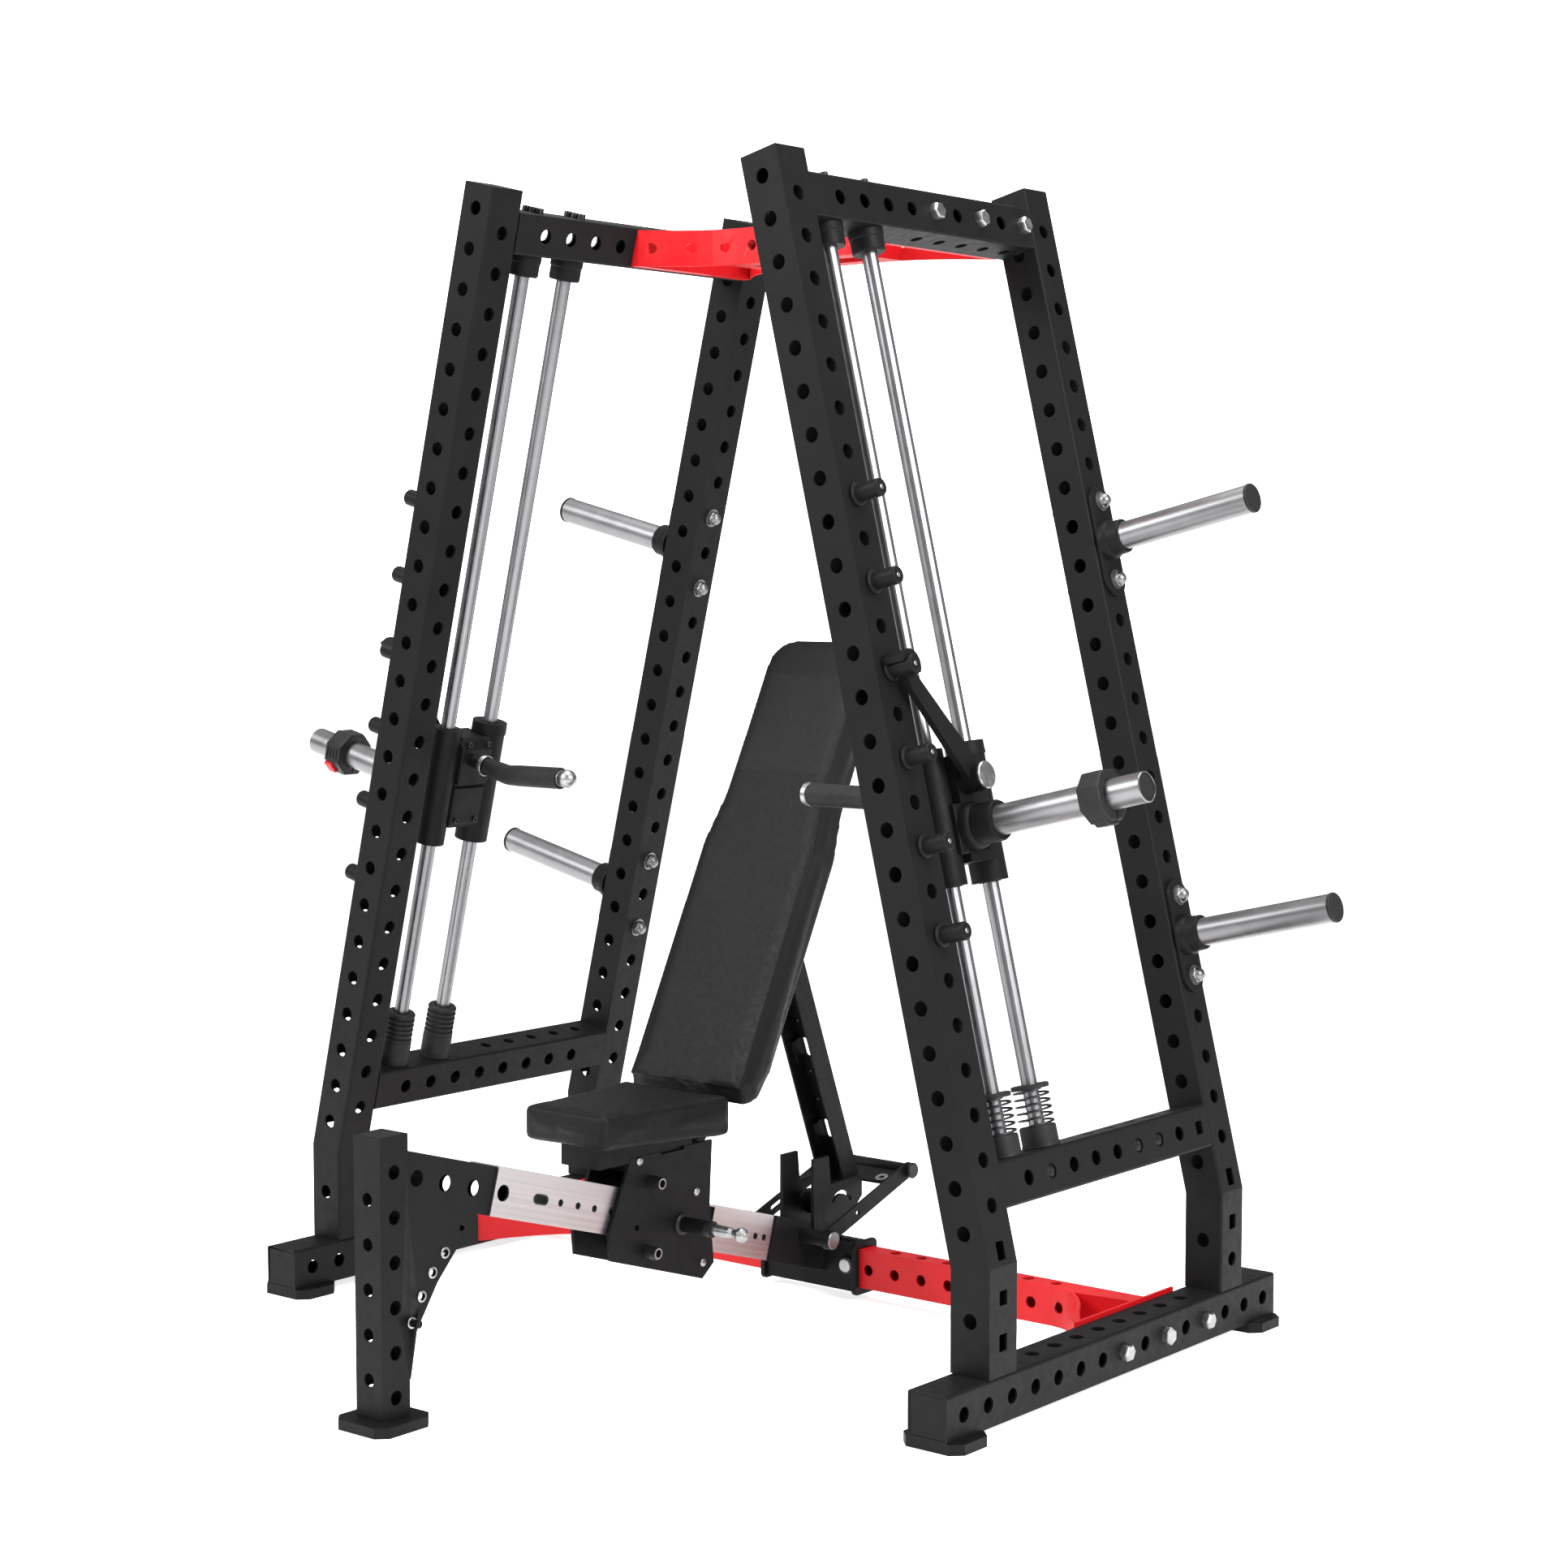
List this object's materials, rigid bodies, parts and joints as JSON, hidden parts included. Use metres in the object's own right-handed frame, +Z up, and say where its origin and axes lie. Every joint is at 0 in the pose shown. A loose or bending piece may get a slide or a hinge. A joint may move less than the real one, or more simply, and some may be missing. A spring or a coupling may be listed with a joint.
{
  "type": "smith machine",
  "caption": "Plate-loaded smith machine: leaning perforated side frames with guided lifting carriages, red cross members and a sliding rail bench with an inclined backrest.",
  "frame": {"origin": "on the floor, under the centre of the machine's bounding box", "axes": "+Z up, +X across the machine towards the seat's pull pin, +Y from the bench post to the back of the side frames"},
  "size_m": [1.9656, 1.5016, 2.0358],
  "materials": {
    "black_steel": "satin powder coat",
    "red_steel": "satin powder coat",
    "chrome": "bright, polished",
    "stainless": "brushed",
    "rubber": "matt moulded rubber",
    "spring_steel": "black oxide",
    "clip_plastic": "moulded plastic",
    "vinyl": "stitched upholstery vinyl"
  },
  "bodies": {
    "frame": {"bench_frame": "black_steel", "slide_strip": "stainless", "saddle_bracket": "black_steel", "bottom_cross_member": "red_steel", "top_cross_member": "red_steel", "base_beam_right": "black_steel", "upright_front_right": "black_steel", "upright_rear_right": "black_steel", "top_beam_right": "black_steel", "lower_beam_right": "black_steel", "guide_rod_front_right": "chrome", "rod_collar_front_right": "black_steel", "spring_buffer_front_right": "spring_steel", "guide_rod_rear_right": "chrome", "rod_collar_rear_right": "black_steel", "spring_buffer_rear_right": "spring_steel", "lock_pin_right_1": "black_steel", "lock_pin_right_2": "black_steel", "lock_pin_right_3": "black_steel", "lock_pin_right_4": "black_steel", "lock_pin_right_5": "black_steel", "lock_pin_right_6": "black_steel", "storage_peg_upper_right": "black_steel", "storage_peg_lower_right": "black_steel", "base_beam_left": "black_steel", "upright_front_left": "black_steel", "upright_rear_left": "black_steel", "top_beam_left": "black_steel", "lower_beam_left": "black_steel", "guide_rod_front_left": "chrome", "rod_collar_front_left": "black_steel", "spring_buffer_front_left": "spring_steel", "guide_rod_rear_left": "chrome", "rod_collar_rear_left": "black_steel", "spring_buffer_rear_left": "spring_steel", "lock_pin_left_1": "black_steel", "lock_pin_left_2": "black_steel", "lock_pin_left_3": "black_steel", "lock_pin_left_4": "black_steel", "lock_pin_left_5": "black_steel", "lock_pin_left_6": "black_steel", "storage_peg_upper_left": "black_steel", "storage_peg_lower_left": "black_steel"},
    "carriage_right": {"carriage_right": "black_steel", "weight_sleeve_right": "chrome"},
    "hook_right": {"hook_handle_right": "black_steel", "grip_right": "rubber"},
    "clip_right": {"sleeve_clip_right": "clip_plastic"},
    "carriage_left": {"carriage_left": "black_steel", "weight_sleeve_left": "chrome"},
    "hook_left": {"hook_handle_left": "black_steel", "grip_left": "rubber"},
    "clip_left": {"sleeve_clip_left": "clip_plastic"},
    "seat": {"seat_carriage": "black_steel", "seat_pad": "vinyl"},
    "backrest": {"back_pad": "vinyl", "back_bracket": "black_steel"},
    "strut": {"strut": "black_steel"},
    "yoke": {"yoke_lever": "black_steel"},
    "seat_pin": {"seat_pin": "chrome"}
  },
  "joints": [
    {"name": "carriage_slide_right", "type": "slide", "parent": "frame", "child": "carriage_right", "axis": [-0.2367, 0, 0.9716], "range_m": [-0.336, 0.8208]},
    {"name": "hook_turn_right", "type": "hinge", "parent": "carriage_right", "child": "hook_right", "pos_m": [0.60122, 0.0432, 1.01317], "axis": [-0.9716, 0, -0.2367], "range_deg": [0, 40]},
    {"name": "clip_slide_right", "type": "slide", "parent": "carriage_right", "child": "clip_right", "axis": [0.9716, 0, 0.2367], "range_m": [-0.175, 0.11]},
    {"name": "carriage_slide_left", "type": "slide", "parent": "frame", "child": "carriage_left", "axis": [0.2367, 0, 0.9716], "range_m": [-0.336, 0.8208]},
    {"name": "hook_turn_left", "type": "hinge", "parent": "carriage_left", "child": "hook_left", "pos_m": [-0.60122, 0.0432, 1.01317], "axis": [-0.9716, 0, 0.2367], "range_deg": [0, 40]},
    {"name": "clip_slide_left", "type": "slide", "parent": "carriage_left", "child": "clip_left", "axis": [-0.9716, 0, 0.2367], "range_m": [-0.175, 0.11]},
    {"name": "seat_slide", "type": "slide", "parent": "frame", "child": "seat", "axis": [0, 0.9595, -0.2817], "range_m": [-0.084, 0.084]},
    {"name": "backrest_hinge", "type": "hinge", "parent": "seat", "child": "backrest", "pos_m": [0, 0.0452, 0.338], "axis": [1, 0, 0], "range_deg": [-8.5, 8.5]},
    {"name": "strut_hinge", "type": "hinge", "parent": "frame", "child": "strut", "pos_m": [0, 0.4842, 0.193], "axis": [1, 0, 0], "range_deg": [-3.2, 3.2]},
    {"name": "seat_pin_pull", "type": "slide", "parent": "seat", "child": "seat_pin", "axis": [1, 0, 0], "range_m": [0, 0.012], "stiffness_N_per_m": 400, "springref_m": -0.015},
    {"name": "yoke_lift", "type": "hinge", "parent": "frame", "child": "yoke", "pos_m": [0, 0.3252, 0.1265], "axis": [1, 0, 0], "range_deg": [-4, 8]}
  ],
  "couplings": [
    {"joint": "backrest_hinge", "follows": "seat_slide", "rad_per_m": 1.701},
    {"joint": "strut_hinge", "follows": "seat_slide", "rad_per_m": -0.6123}
  ]
}
